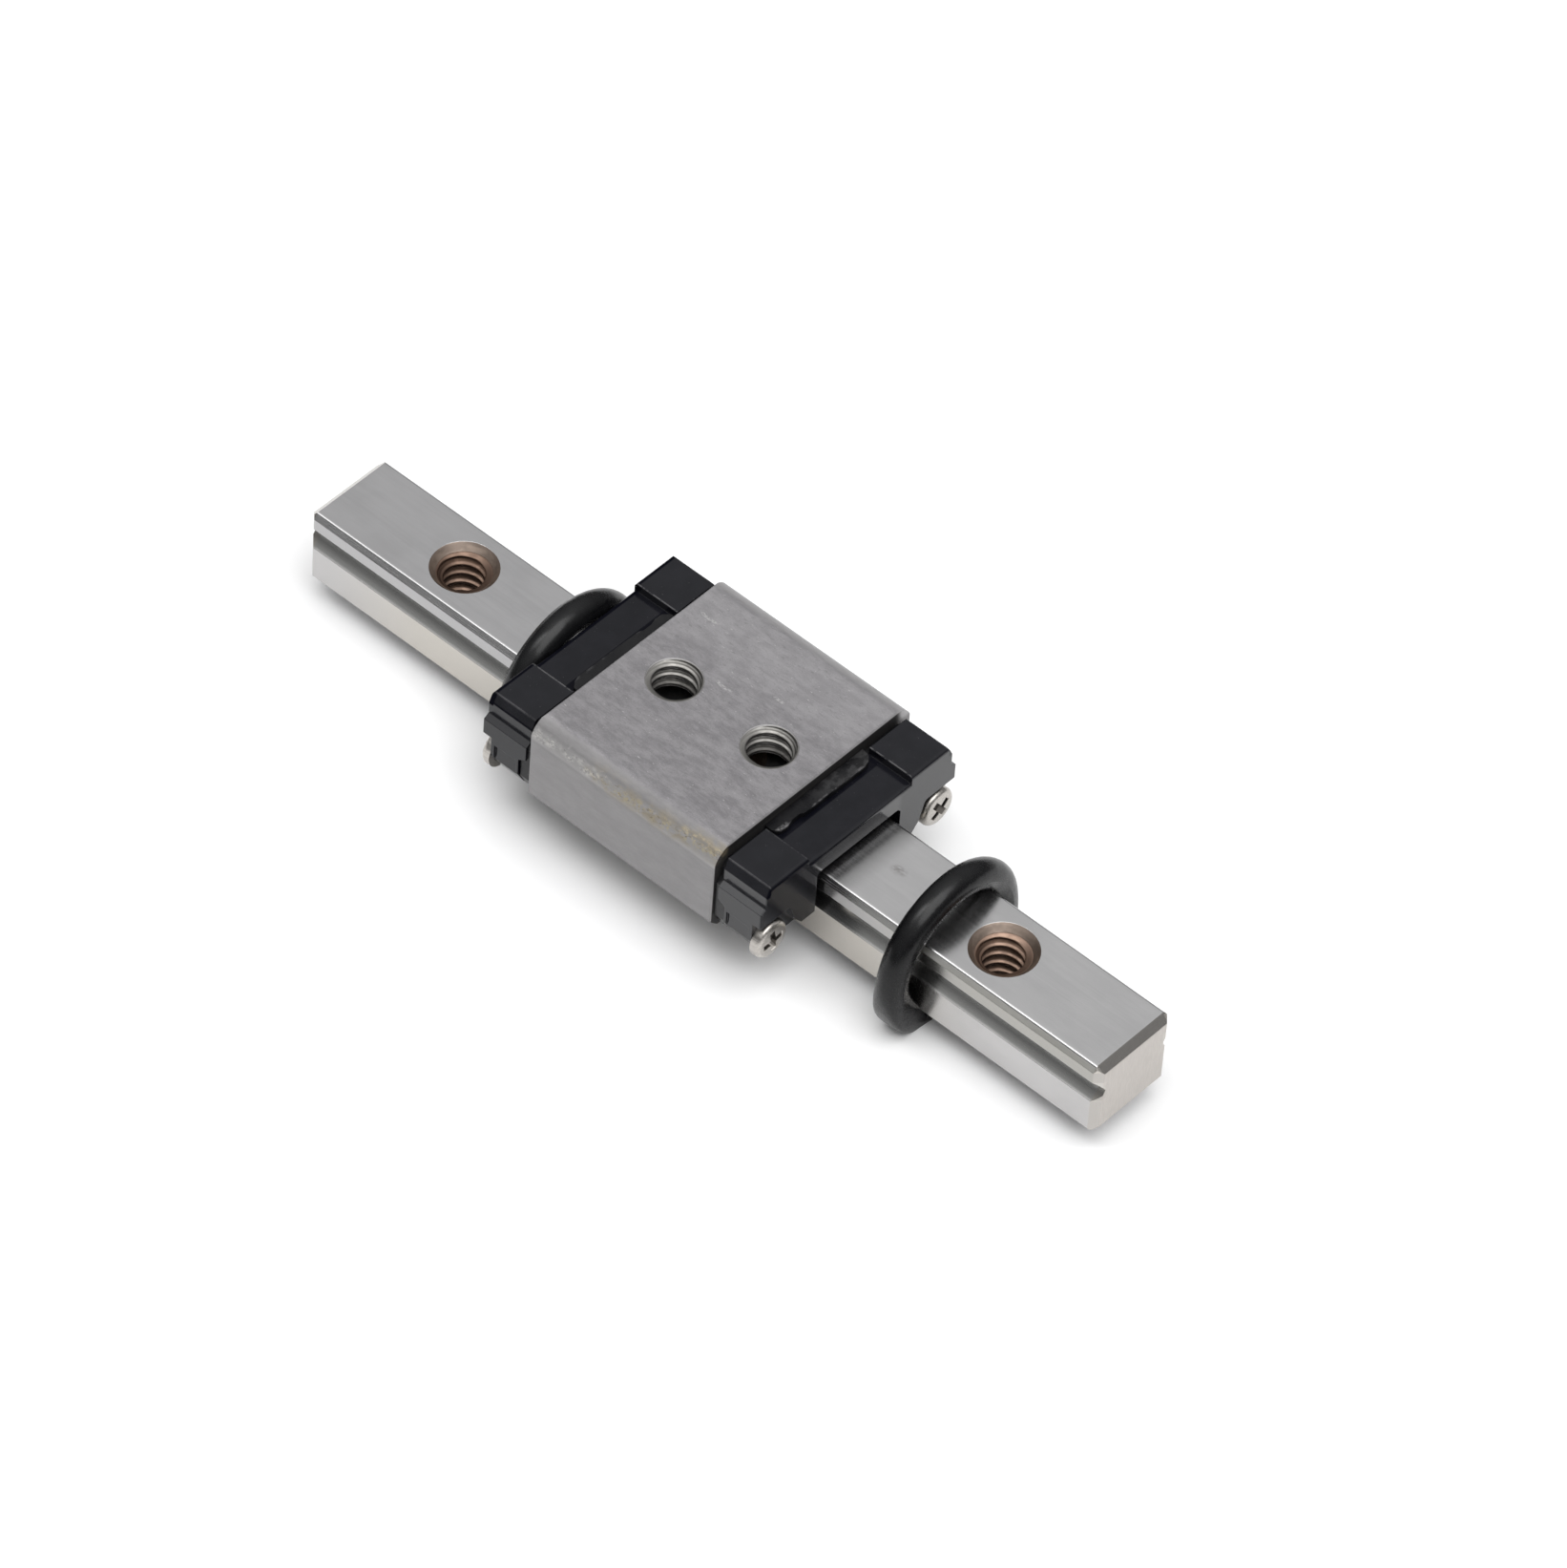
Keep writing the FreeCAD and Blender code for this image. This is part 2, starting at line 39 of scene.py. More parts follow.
scene = bpy.context.scene
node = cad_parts


# ---------------------------------------------------------------- node helper
class Shader:
    """A material with a Principled shader and texture space in millimetres."""

    def __init__(self, name):
        self.mat = bpy.data.materials.new(name)
        self.mat.use_nodes = True
        self.tree = self.mat.node_tree
        self.tree.nodes.clear()
        out = self.new("ShaderNodeOutputMaterial")
        self.bsdf = self.new("ShaderNodeBsdfPrincipled")
        self.tree.links.new(self.bsdf.outputs[0], out.inputs[0])
        tc = self.new("ShaderNodeTexCoord")
        self.normal = tc.outputs["Normal"]
        self.p = self.vec("SCALE", tc.outputs["Object"], scale=1000.0)
        sep = self.new("ShaderNodeSeparateXYZ")
        self.put(sep.inputs[0], self.p)
        self.x, self.y, self.z = sep.outputs

    def new(self, kind):
        return self.tree.nodes.new(kind)

    def put(self, socket, value):
        if isinstance(value, bpy.types.NodeSocket):
            self.tree.links.new(value, socket)
        elif isinstance(value, tuple) and len(value) == 3 and len(socket.default_value) == 4:
            socket.default_value = value + (1.0,)
        else:
            socket.default_value = value

    def set(self, name, value):
        self.put(self.bsdf.inputs[name], value)

    def vec(self, op, a, b=None, scale=None):
        n = self.new("ShaderNodeVectorMath")
        n.operation = op
        self.put(n.inputs[0], a)
        if b is not None:
            self.put(n.inputs[1], b)
        if scale is not None:
            self.put(n.inputs["Scale"], scale)
        return n.outputs["Value" if op in ("DOT_PRODUCT", "LENGTH", "DISTANCE") else "Vector"]

    def math(self, op, a, b=None, c=None, clamp=False):
        n = self.new("ShaderNodeMath")
        n.operation = op
        n.use_clamp = clamp
        for i, w in enumerate((a, b, c)):
            if w is not None:
                self.put(n.inputs[i], w)
        return n.outputs[0]

    def add(self, a, b):
        return self.math("ADD", a, b)

    def sub(self, a, b):
        return self.math("SUBTRACT", a, b)

    def mul(self, a, b):
        return self.math("MULTIPLY", a, b)

    def step(self, value, lo, hi, to=(0.0, 1.0)):
        """Smooth ramp of value from lo to hi; lo may be above hi."""
        n = self.new("ShaderNodeMapRange")
        n.interpolation_type = "SMOOTHSTEP"
        if lo > hi:
            lo, hi, to = hi, lo, (to[1], to[0])
        for i, w in enumerate((value, lo, hi, to[0], to[1])):
            self.put(n.inputs[i], w)
        return n.outputs[0]

    def band(self, value, lo, hi, soft):
        """1 between lo and hi, with soft shoulders."""
        return self.mul(self.step(value, lo - soft, lo + soft), self.step(value, hi + soft, hi - soft))

    def noise(self, stretch, detail=2.0, rough=0.5, shift=(0.0, 0.0, 0.0)):
        """Noise whose cells are 1 / stretch mm along each axis."""
        v = self.vec("MULTIPLY", self.p, stretch)
        if shift != (0.0, 0.0, 0.0):
            v = self.vec("ADD", v, shift)
        n = self.new("ShaderNodeTexNoise")
        self.put(n.inputs["Vector"], v)
        n.inputs["Scale"].default_value = 1.0
        n.inputs["Detail"].default_value = detail
        n.inputs["Roughness"].default_value = rough
        return n.outputs[0]

    def mix(self, fac, a, b):
        n = self.new("ShaderNodeMix")
        n.data_type = "RGBA"
        self.put(n.inputs[0], fac)
        self.put(n.inputs[6], a)
        self.put(n.inputs[7], b)
        return n.outputs[2]

    def relief(self, height, distance, edge=0.0, strength=1.0):
        """Bump of distance millimetres over edges softened by edge millimetres."""
        b = self.new("ShaderNodeBump")
        b.inputs["Strength"].default_value = strength
        b.inputs["Distance"].default_value = distance * MM
        self.put(b.inputs["Height"], height)
        if edge:
            s = self.new("ShaderNodeBevel")
            s.samples = 6
            s.inputs["Radius"].default_value = edge * MM
            self.put(b.inputs["Normal"], s.outputs[0])
        self.set("Normal", b.outputs[0])


# ---------------------------------------------------------------- materials
def rail_steel():
    s = Shader("ground_rail_steel")
    fine = s.noise((0.45, 26.0, 26.0), 4.0, 0.6)
    wide = s.noise((0.10, 5.0, 5.0), 2.0, 0.5)
    cloud = s.noise((0.55, 0.9, 0.9), 4.0, 0.55)
    tone = s.add(s.mul(fine, 0.22), s.add(s.mul(wide, 0.20), s.mul(cloud, 0.58)))
    tone = s.step(tone, 0.34, 0.66)
    col = s.mix(tone, (0.462, 0.456, 0.458), (0.512, 0.506, 0.508))
    rough = s.step(fine, 0.30, 0.70, (0.20, 0.26))

    # the top is paler than the sides, and paler still towards the front
    top = s.mix(s.step(s.x, -9.0, 12.0), s.mix(tone, (0.500, 0.496, 0.500), (0.552, 0.547, 0.552)),
                s.mix(tone, (0.560, 0.556, 0.558), (0.612, 0.607, 0.608)))
    col = s.mix(s.step(s.z, 2.55, 2.60), col, top)
    side = s.step(s.math("ABSOLUTE", s.y), 1.485, 1.495)
    # the bevel between top and side is given a paler polished colour, with a cream painted highlight towards the front
    front = s.step(s.x, 3.0, 11.0)
    slope = s.mul(s.band(s.z, 2.405, 2.555, 0.006), s.step(s.math("ABSOLUTE", s.y), 1.30, 1.35))
    col = s.mix(s.mul(slope, 0.90), col, s.mix(front, (0.720, 0.716, 0.718), (0.700, 0.684, 0.640)))
    rough = s.add(rough, s.mul(slope, s.step(front, 0.0, 1.0, (0.02, 0.14))))
    # narrow land above the ball groove, duller, yellowish at the front
    land = s.mul(side, s.step(s.z, 2.00, 2.04))
    col = s.mix(s.mul(land, 0.80), col, s.mix(front, (0.392, 0.388, 0.392), (0.362, 0.352, 0.322)))
    # the flat below the ball groove is warmer in the middle of the rail
    low = s.mul(side, s.step(s.z, 1.27, 1.25))
    warm = s.band(s.x, -12.0, 8.5, 2.5)
    col = s.mix(s.mul(low, s.add(s.mul(warm, 0.75), 0.10)), col, (0.520, 0.492, 0.445))
    # ball track, polished above; its lower flank is painted dark as painted shade
    track = s.mul(s.step(s.math("ABSOLUTE", s.y), 1.497, 1.485), s.step(s.math("ABSOLUTE", s.y), 1.15, 1.16))
    track = s.mul(track, s.band(s.z, 1.26, 2.02, 0.01))
    col = s.mix(s.mul(track, 0.60), col, (0.840, 0.838, 0.806))
    col = s.mix(s.mul(s.mul(track, s.step(s.z, 1.25, 1.33)), s.step(s.z, 1.62, 1.46, (0.0, 0.56))), col, (0.130, 0.130, 0.126))

    # sawn and chamfered ends
    ends = s.add(s.step(s.x, 14.738, 14.746), s.step(s.x, -14.538, -14.546))
    grain = s.noise((9.0, 16.0, 3.0), 3.0, 0.6)
    col = s.mix(s.mul(ends, 0.85), col, s.mix(s.step(grain, 0.35, 0.65), (0.470, 0.437, 0.405), (0.512, 0.478, 0.444)))
    bevel = s.sub(s.add(s.step(s.x, 14.515, 14.525), s.step(s.x, -14.315, -14.325)), ends)
    col = s.mix(s.mul(bevel, 0.60), col, (0.440, 0.410, 0.370))
    rough = s.add(rough, s.mul(ends, 0.14))

    # countersinks and bores have a brown heat tint
    dx = s.mul(s.sub(s.math("FRACT", s.add(s.mul(s.x, 0.1), 0.5)), 0.5), 10.0)
    r = s.math("SQRT", s.add(s.mul(dx, dx), s.mul(s.y, s.y)))
    hole = s.mul(s.step(r, 1.004, 0.996), s.mul(s.step(s.z, 2.599, 2.594), s.step(s.z, 0.05, 0.15)))
    tint = s.mix(s.step(s.noise((2.2, 2.2, 6.0), 3.0, 0.5), 0.35, 0.65), (0.205, 0.156, 0.124), (0.325, 0.252, 0.202))
    col = s.mix(s.mul(hole, 0.92), col, tint)
    rough = s.add(rough, s.mul(hole, 0.24))

    # small dark smear on the top, and faint stains
    sx = s.mul(s.sub(s.x, 6.07), 2.8)
    sy = s.mul(s.sub(s.y, 0.12), 4.6)
    smear = s.step(s.math("SQRT", s.add(s.mul(sx, sx), s.mul(sy, sy))), 1.0, 0.2)
    smear = s.mul(smear, s.step(s.z, 2.58, 2.59))
    smear = s.mul(smear, s.step(s.noise((9.0, 22.0, 9.0), 3.0, 0.6), 0.30, 0.60))
    col = s.mix(s.mul(smear, 0.55), col, (0.220, 0.206, 0.192))
    # painted reflection of the dark front cap on the top just in front of the carriage, laid down like a film of oil;
    # it stays put when the carriage moves
    film = s.mul(s.step(s.x, 5.85, 5.12), s.mul(s.step(s.x, 4.90, 5.05), s.step(s.z, 2.58, 2.59)))
    col = s.mix(s.mul(film, s.step(cloud, 0.30, 0.70, (0.42, 0.54))), col, (0.120, 0.120, 0.117))
    # fine light scratches along the ground top
    lines = s.step(s.noise((0.7, 48.0, 48.0), 2.0, 0.5, (3.0, 7.0, 1.0)), 0.66, 0.74)
    col = s.mix(s.mul(lines, 0.14), col, (0.600, 0.594, 0.590))

    s.set("Base Color", col)
    s.set("Metallic", 1.0)
    s.set("Roughness", rough)
    s.relief(s.add(s.mul(fine, 0.8), s.mul(wide, 0.3)), 0.00018, 0.012)
    return s.mat


def block_steel():
    s = Shader("ground_block_steel")
    streak = s.noise((4.0, 15.0, 15.0), 4.0, 0.62)
    patch = s.noise((1.5, 3.4, 3.4), 3.0, 0.60, (5.0, 2.0, 9.0))
    grain = s.noise((20.0, 32.0, 32.0), 2.0, 0.6)
    tone = s.add(s.mul(streak, 0.36), s.add(s.mul(patch, 0.42), s.mul(grain, 0.22)))
    tone = s.step(tone, 0.38, 0.62)
    top = s.step(s.z, 3.960, 3.998)
    col = s.mix(tone, (0.296, 0.289, 0.292), (0.334, 0.327, 0.329))
    col = s.mix(top, col, s.mix(tone, (0.254, 0.246, 0.255), (0.366, 0.356, 0.365)))
    rough = s.step(streak, 0.30, 0.70, (0.58, 0.70))
    # the right half of the top is a little paler
    col = s.mix(s.mul(top, s.step(s.y, 0.3, 2.6, (0.0, 0.26))), col, (0.490, 0.480, 0.488))
    # the long roundings are painted to set their shading: the left one painted darker where it leaves the top and paler
    # lower down, the right one painted bright, as painted shade and painted highlight
    port = s.step(s.y, 0.5, -0.5)
    col = s.mix(s.mul(port, s.band(s.z, 3.82, 3.968, 0.03)), col, s.mix(tone, (0.242, 0.236, 0.238), (0.276, 0.270, 0.271)))
    col = s.mix(s.mul(port, s.band(s.z, 3.46, 3.77, 0.05)), col, s.mix(tone, (0.392, 0.384, 0.382), (0.440, 0.431, 0.428)))
    col = s.mix(s.mul(s.step(s.y, 3.36, 3.60), s.step(s.z, 3.50, 3.70)), col, (0.520, 0.510, 0.514))

    # dark flecks and pale nicks scattered over the top
    fleck = s.mul(top, s.step(s.noise((4.2, 13.0, 5.0), 3.0, 0.6, (1.0, 4.0, 0.0)), 0.57, 0.68))
    col = s.mix(s.mul(fleck, 0.40), col, (0.215, 0.208, 0.215))
    nick = s.mul(top, s.step(s.noise((7.0, 17.0, 9.0), 2.0, 0.5, (8.0, 1.0, 3.0)), 0.69, 0.74))
    col = s.mix(s.mul(nick, 0.7), col, (0.560, 0.552, 0.548))
    # pale rub marks beside the rear hole and towards the rear right corner
    for mx, my, half in ((-1.05, 0.75, 0.34), (-3.05, 2.35, 0.42), (0.35, 1.45, 0.22)):
        rx = s.sub(s.x, mx)
        ry = s.sub(s.sub(s.y, my), s.mul(s.mul(rx, rx), 0.55))
        mark = s.mul(s.step(s.math("ABSOLUTE", rx), half, half * 0.5), s.step(s.math("ABSOLUTE", ry), 0.075, 0.02))
        mark = s.mul(mark, s.mul(top, s.step(s.noise((14.0, 20.0, 9.0), 2.0, 0.6), 0.42, 0.58)))
        col = s.mix(s.mul(mark, 0.7), col, (0.560, 0.552, 0.545))

    # end faces painted near-black where the plates and caps meet them, as painted shade in the gap between the parts
    d = s.math("ABSOLUTE", s.sub(s.x, CAR_X))
    col = s.mix(s.mul(s.step(d, 3.388, 3.398), s.step(s.y, 3.62, 3.30, (0.0, 0.88))), col, (0.040, 0.038, 0.038))

    # worn line along the left top rounding, white at the rear turning yellow-brown
    drift = s.mul(s.sub(s.noise((0.9, 0.01, 0.01), 4.0, 0.65), 0.5), 0.42)
    rise = s.mul(s.step(s.x, 1.1, 2.9), 0.15)
    off = s.sub(s.z, s.add(s.add(rise, drift), 3.665))
    left = s.step(s.y, -3.40, -3.55)
    near = s.mul(left, s.step(s.math("ABSOLUTE", off), 0.19, 0.03))
    near = s.mul(near, s.band(s.x, -3.82, 2.96, 0.05))
    yellow = s.step(s.add(s.x, s.mul(s.sub(patch, 0.5), 2.5)), -2.0, -0.6)
    stain = s.mul(left, s.mul(s.step(s.math("ABSOLUTE", off), 0.34, 0.03), s.mul(yellow, s.step(patch, 0.38, 0.62))))
    col = s.mix(s.mul(stain, 0.62), col, (0.330, 0.280, 0.190))
    blot = s.step(s.noise((2.6, 2.6, 2.6), 2.0, 0.5, (4.0, 9.0, 6.0)), 0.36, 0.56)
    chips = s.mul(blot, s.step(s.noise((7.0, 10.0, 12.0), 4.0, 0.70), 0.47, 0.57))
    col = s.mix(s.mul(s.mul(near, chips), 0.92), col, s.mix(yellow, (0.640, 0.626, 0.606), (0.480, 0.425, 0.310)))
    pits = s.step(s.noise((6.0, 9.0, 11.0), 4.0, 0.70, (3.0, 8.0, 2.0)), 0.56, 0.66)
    col = s.mix(s.mul(s.mul(near, pits), 0.55), col, s.mix(yellow, (0.160, 0.155, 0.155), (0.190, 0.140, 0.080)))

    # lead-in of each bore, brighter than the ground top
    for cx in (CAR_X - 1.75, CAR_X + 1.75):
        dx = s.sub(s.x, cx)
        r = s.math("SQRT", s.add(s.mul(dx, dx), s.mul(s.y, s.y)))
        bore = s.mul(s.step(r, 0.838, 0.830), s.step(s.z, 3.998, 3.990))
        col = s.mix(s.mul(bore, 0.80), col, (0.500, 0.490, 0.484))

    s.set("Base Color", col)
    s.set("Metallic", 1.0)
    s.set("Roughness", rough)
    s.relief(s.add(s.mul(streak, 0.7), s.mul(grain, 0.5)), 0.0016)
    return s.mat


def plastic(name, dark, light, rough_lo, rough_hi, edge, shine):
    s = Shader(name)
    skin = s.noise((14.0, 14.0, 14.0), 3.0, 0.55)
    cloud = s.noise((1.3, 1.3, 1.3), 4.0, 0.6)
    col = s.mix(s.step(cloud, 0.35, 0.68), dark, light)
    # a little pale dust in specks
    dust = s.step(s.noise((17.0, 17.0, 17.0), 1.0, 0.5, (2.0, 6.0, 4.0)), 0.76, 0.80)
    col = s.mix(s.mul(dust, 0.14), col, (0.200, 0.195, 0.190))
    # inner edges of the shoulders are painted a little paler as a painted edge highlight
    ay = s.math("ABSOLUTE", s.y)
    edge_highlight = s.mul(s.band(ay, 2.095, 2.140, 0.012), s.step(s.z, 3.70, 3.73))
    left_front = s.mul(s.step(s.x, 2.0, 2.8), s.step(s.y, -0.8, -1.9))
    edge_highlight = s.mul(edge_highlight, s.sub(1.0, s.mul(left_front, 0.75)))
    # and so is the lip of the return plate's tab, in places, as the same painted highlight
    edge_highlight = s.mul(edge_highlight, s.step(s.noise((6.0, 6.0, 6.0), 3.0, 0.6, (1.0, 3.0, 7.0)), 0.34, 0.56))
    d = s.math("ABSOLUTE", s.sub(s.x, CAR_X))
    lip_highlight = s.mul(s.step(d, 3.80, 3.86), s.mul(s.band(s.z, 3.62, 3.70, 0.01), s.step(ay, 2.00, 1.98)))
    lip_highlight = s.mul(lip_highlight, s.step(s.noise((4.0, 3.0, 4.0), 3.0, 0.6, (6.0, 2.0, 5.0)), 0.46, 0.62))
    lip_highlight = s.mul(lip_highlight, s.step(s.x, -1.0, 1.0, (0.35, 1.0)))
    # the front tab is rubbed pale at its left corner and in patches on its right half
    tab = s.mul(s.step(s.x, 2.0, 2.8), s.mul(s.step(d, 3.915, 3.900), s.mul(s.step(ay, 2.00, 1.99), s.step(s.z, 3.60, 3.64))))
    corner = s.mul(tab, s.mul(s.step(s.y, -1.42, -1.56), s.step(d, 3.70, 3.80)))
    corner = s.mul(corner, s.step(s.noise((5.0, 5.0, 5.0), 3.0, 0.6, (3.0, 1.0, 8.0)), 0.36, 0.54))
    patch = s.mul(tab, s.step(s.noise((3.2, 2.4, 3.2), 3.0, 0.62, (9.0, 2.0, 4.0)), 0.44, 0.60))
    patch = s.mul(patch, s.step(s.y, -0.7, 0.6, (0.10, 1.0)))
    col = s.mix(s.mul(patch, 0.21), col, (0.100, 0.098, 0.100))
    col = s.mix(s.mul(corner, 0.75), col, (0.190, 0.187, 0.190))
    col = s.mix(s.mul(s.add(edge_highlight, lip_highlight), 0.55), col, (0.125, 0.122, 0.125))
    # outer edges of the shoulders painted paler as a painted highlight, with the dull bevel below them
    rim_highlight = s.mul(s.band(ay, 3.580, 3.618, 0.010), s.step(s.z, 3.68, 3.72))
    slope = s.mul(s.band(ay, 3.622, 3.770, 0.012), s.step(s.z, 3.38, 3.44))
    rim_highlight = s.mul(rim_highlight, s.step(cloud, 0.40, 0.62, (0.08, 0.40)))
    col = s.mix(rim_highlight, col, (0.110, 0.108, 0.112))
    # dirt packed in the corner along the return plate's tab
    gap = s.mul(s.band(d, 3.70, 4.01, 0.02), s.mul(s.step(ay, 2.08, 2.02), s.band(s.z, 3.40, 3.50, 0.01)))
    flat = s.step(s.vec("DOT_PRODUCT", s.normal, (0.0, 0.0, 1.0)), 0.75, 0.97)
    low = s.mul(flat, s.band(s.z, 3.40, 3.52, 0.02))
    s.set("Base Color", col)
    s.set("Roughness", s.step(s.add(s.mul(skin, 0.5), s.mul(cloud, 0.5)), 0.36, 0.64, (rough_lo, rough_hi)))
    s.set("IOR", 1.48)
    # upright faces keep the mould's gloss, flat tops are duller
    gloss = s.sub(s.sub(s.add(s.mul(flat, -0.21), 0.60), s.mul(low, 0.07)), s.mul(gap, 0.26))
    # the front face is dulled by grease at its left, and rubbed over the rail
    face = s.mul(s.step(s.x, 4.62, 4.70), s.sub(1.0, flat))
    gloss = s.sub(gloss, s.mul(face, s.step(s.y, -1.45, -2.0, (0.0, 0.40))))
    gloss = s.add(gloss, s.mul(face, s.mul(s.band(s.y, -1.50, 1.65, 0.12), 0.34)))
    gloss = s.sub(gloss, s.mul(slope, 0.32))
    gloss = s.sub(gloss, s.mul(tab, s.step(s.y, 0.4, -0.8, (0.0, 0.12))))
    # the rear cap is greasy on its left side and along its outer top edge
    gloss = s.sub(gloss, s.mul(s.step(s.x, -3.6, -3.9), s.mul(s.step(s.y, -3.72, -3.75), 0.24)))
    gloss = s.sub(gloss, s.mul(s.step(s.x, -5.40, -5.44), s.mul(s.step(s.z, 3.30, 3.36), 0.40)))
    s.set("Specular IOR Level", s.mul(gloss, shine))
    s.relief(s.add(s.mul(skin, 0.4), s.mul(cloud, 1.5)), 0.0009, edge)
    return s.mat


def rubber():
    s = Shader("stop_ring_rubber")
    skin = s.noise((17.0, 17.0, 17.0), 3.0, 0.55)
    cloud = s.noise((1.7, 1.7, 1.7), 3.0, 0.6)
    col = s.mix(s.step(cloud, 0.35, 0.65), (0.0030, 0.0030, 0.0035), (0.0056, 0.0057, 0.0062))
    lint = s.step(s.noise((4.0, 21.0, 21.0), 2.0, 0.5), 0.72, 0.78)
    col = s.mix(s.mul(lint, 0.10), col, (0.120, 0.115, 0.110))
    s.set("Base Color", col)
    s.set("Roughness", s.step(skin, 0.32, 0.68, (0.22, 0.29)))
    s.set("IOR", 1.36)
    s.relief(skin, 0.0003)
    return s.mat


def screw_steel():
    s = Shader("bright_screw_steel")
    lathe = s.noise((1.5, 20.0, 20.0), 3.0, 0.6)
    col = s.mix(s.step(lathe, 0.35, 0.65), (0.410, 0.388, 0.362), (0.550, 0.524, 0.490))
    # floor of the cross recess painted dark as painted shade
    d = s.math("ABSOLUTE", s.sub(s.x, CAR_X))
    ay = s.sub(s.math("ABSOLUTE", s.y), 3.40)
    az = s.sub(s.z, 1.47)
    r = s.math("SQRT", s.add(s.mul(ay, ay), s.mul(az, az)))
    recess_shade = s.mul(s.step(r, 0.43, 0.40), s.step(d, 5.150, 5.125))
    col = s.mix(s.mul(recess_shade, s.step(s.y, -1.0, 1.0, (0.62, 0.88))), col, (0.070, 0.062, 0.055))
    s.set("Base Color", col)
    s.set("Metallic", 1.0)
    s.set("Roughness", s.step(lathe, 0.30, 0.70, (0.28, 0.40)))
    s.relief(lathe, 0.0010, 0.020)
    return s.mat


def ball_steel():
    s = Shader("polished_ball_steel")
    film = s.noise((6.0, 6.0, 6.0), 3.0, 0.6)
    col = s.mix(s.step(film, 0.35, 0.65), (0.690, 0.688, 0.690), (0.790, 0.788, 0.790))
    s.set("Base Color", col)
    s.set("Metallic", 1.0)
    s.set("Roughness", s.step(film, 0.30, 0.70, (0.08, 0.16)))
    s.relief(film, 0.0004)
    return s.mat


def thread_metal(name, centres, crest, flank, root, r_crest, r_root, z_run, z_dark):
    """Cut thread painted with light and shade: dull crests, flanks painted brighter as a painted highlight, and roots
    painted dark as painted shade below the run-out at z_run.  Below z_dark the turns are lost in painted shade of the
    bore."""
    s = Shader(name)
    dist = None
    for cx in centres:
        dx = s.sub(s.x, cx)
        r = s.math("SQRT", s.add(s.mul(dx, dx), s.mul(s.y, s.y)))
        dist = r if dist is None else s.math("MINIMUM", dist, r)
    film = s.noise((5.0, 5.0, 14.0), 4.0, 0.6)
    depth = s.step(s.add(dist, s.mul(s.sub(film, 0.5), 0.03)), r_root - 0.05, r_root)
    depth = s.mul(depth, s.step(s.z, z_run, z_run - 0.14))
    lit = s.mix(s.step(dist, r_crest - 0.004, r_crest + 0.020), crest, flank)
    lit = s.mix(s.mul(s.step(film, 0.40, 0.70), 0.30), lit, crest)
    # painted shadow line along the middle of each flank, with a thin paler painted line above it
    step_x = centres[1] - centres[0]
    fx = s.mul(s.sub(s.math("FRACT", s.add(s.mul(s.sub(s.x, centres[0]), 1.0 / step_x), 0.5)), 0.5), step_x)
    turn = s.mul(s.math("ARCTAN2", s.y, fx), 0.5 / math.pi)
    phase = s.math("FRACT", s.add(s.sub(s.mul(s.z, 1.0 / 0.35), turn), 20.0))
    mark = s.mul(s.band(phase, 0.735, 0.815, 0.02), s.step(s.z, z_run + 0.10, z_run - 0.06))
    lit = s.mix(s.mul(mark, 0.85), lit, root)
    lit = s.mix(s.mul(s.band(phase, 0.835, 0.90, 0.02), 0.40), lit, crest)
    # painted shadow as a dark line along the edge of the crest
    crest_edge_shadow = s.mul(s.band(dist, r_crest - 0.004, r_crest + 0.010, 0.006), s.step(s.z, z_run, z_run - 0.14))
    lit = s.mix(s.mul(crest_edge_shadow, 0.75), lit, root)
    # below z_dark the turns are painted dark as painted shade of the bore
    lit = s.mix(s.step(s.z, z_dark + 0.22, z_dark, (0.0, 0.80)), lit, root)
    # the upper turns of the rearmost hole are the dirtiest
    lit = s.mix(s.mul(s.step(s.x, -6.0, -8.0), s.step(s.z, z_run - 0.70, z_run - 0.40, (0.0, 0.45))), lit, root)
    s.set("Base Color", s.mix(depth, lit, root))
    s.set("Metallic", 1.0)
    s.set("Roughness", s.step(film, 0.30, 0.70, (0.40, 0.52)))
    s.relief(film, 0.0020)
    return s.mat


RAIL = rail_steel()
BLOCK = block_steel()
CAP = plastic("black_cap_plastic", (0.0030, 0.0032, 0.0055), (0.0055, 0.0056, 0.0085), 0.12, 0.20, 0.025, 1.0)
PLATE = plastic("black_plate_plastic", (0.0050, 0.0050, 0.0060), (0.0095, 0.0094, 0.0102), 0.26, 0.38, 0.020, 0.62)
RUBBER = rubber()
SCREW = screw_steel()
BALL = ball_steel()
RAIL_THREAD = thread_metal("rail_thread_bronzed", (-10.0, 0.0, 10.0), (0.160, 0.110, 0.084), (0.250, 0.172, 0.132), (0.070, 0.044, 0.032), 0.588, 0.72, 2.32, -0.40)
BLOCK_THREAD = thread_metal("block_thread_steel", (CAR_X - 1.75, CAR_X + 1.75), (0.190, 0.185, 0.178), (0.285, 0.277, 0.262), (0.050, 0.047, 0.044), 0.643, 0.790, 3.92, 3.14)


def dress(name, mat):
    me = node[name].data
    me.materials.clear()
    me.materials.append(mat)


for name, mat in (("guide_rail", RAIL), ("carriage_block", BLOCK), ("front_end_cap", CAP), ("rear_end_cap", CAP),
                  ("front_return_plate", PLATE), ("rear_return_plate", PLATE), ("front_cap_screws", SCREW),
                  ("rear_cap_screws", SCREW), ("left_balls", BALL), ("right_balls", BALL),
                  ("front_stop_ring", RUBBER), ("rear_stop_ring", RUBBER)):
    dress(name, mat)


